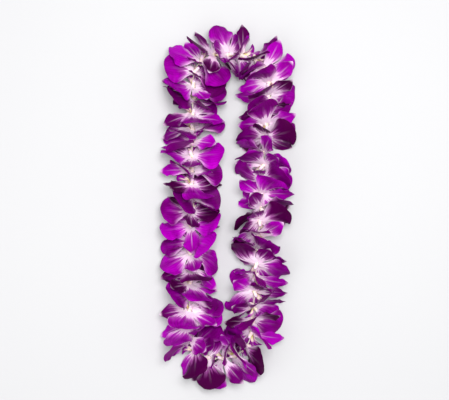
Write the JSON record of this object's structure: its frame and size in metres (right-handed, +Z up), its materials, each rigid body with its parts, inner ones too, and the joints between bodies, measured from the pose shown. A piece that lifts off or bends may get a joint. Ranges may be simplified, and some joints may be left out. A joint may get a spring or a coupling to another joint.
{
  "type": "fresh flower lei",
  "caption": "Closed loop of ruffled orchid blooms threaded face to back on a knotted cotton string, lying flat.",
  "frame": {"origin": "middle of the box round the lei, at the surface that it lies on", "axes": "+Y along the loop's length towards its wider end, +X across the loop, +Z up out of the surface"},
  "size_m": [0.1936, 0.5162, 0.0661],
  "materials": {
    "petals": "satin",
    "string": "matt"
  },
  "bodies": {
    "root": {"bloom_01": "petals", "bloom_02": "petals", "bloom_03": "petals", "bloom_04": "petals", "bloom_05": "petals", "bloom_06": "petals", "bloom_07": "petals", "bloom_08": "petals", "bloom_09": "petals", "bloom_10": "petals", "bloom_11": "petals", "bloom_12": "petals", "bloom_13": "petals", "bloom_14": "petals", "bloom_15": "petals", "bloom_16": "petals", "bloom_17": "petals", "bloom_18": "petals", "bloom_19": "petals", "bloom_20": "petals", "bloom_21": "petals", "bloom_22": "petals", "bloom_23": "petals", "bloom_24": "petals", "bloom_25": "petals", "bloom_26": "petals", "bloom_27": "petals", "bloom_28": "petals", "bloom_29": "petals", "bloom_30": "petals", "bloom_31": "petals", "bloom_32": "petals", "bloom_33": "petals", "bloom_34": "petals", "bloom_35": "petals", "bloom_36": "petals", "bloom_37": "petals", "bloom_38": "petals", "bloom_39": "petals", "bloom_40": "petals", "bloom_41": "petals", "bloom_42": "petals", "bloom_43": "petals", "bloom_44": "petals", "bloom_45": "petals", "bloom_46": "petals", "bloom_47": "petals", "bloom_48": "petals", "bloom_49": "petals", "bloom_50": "petals", "string": "string"}
  },
  "joints": []
}
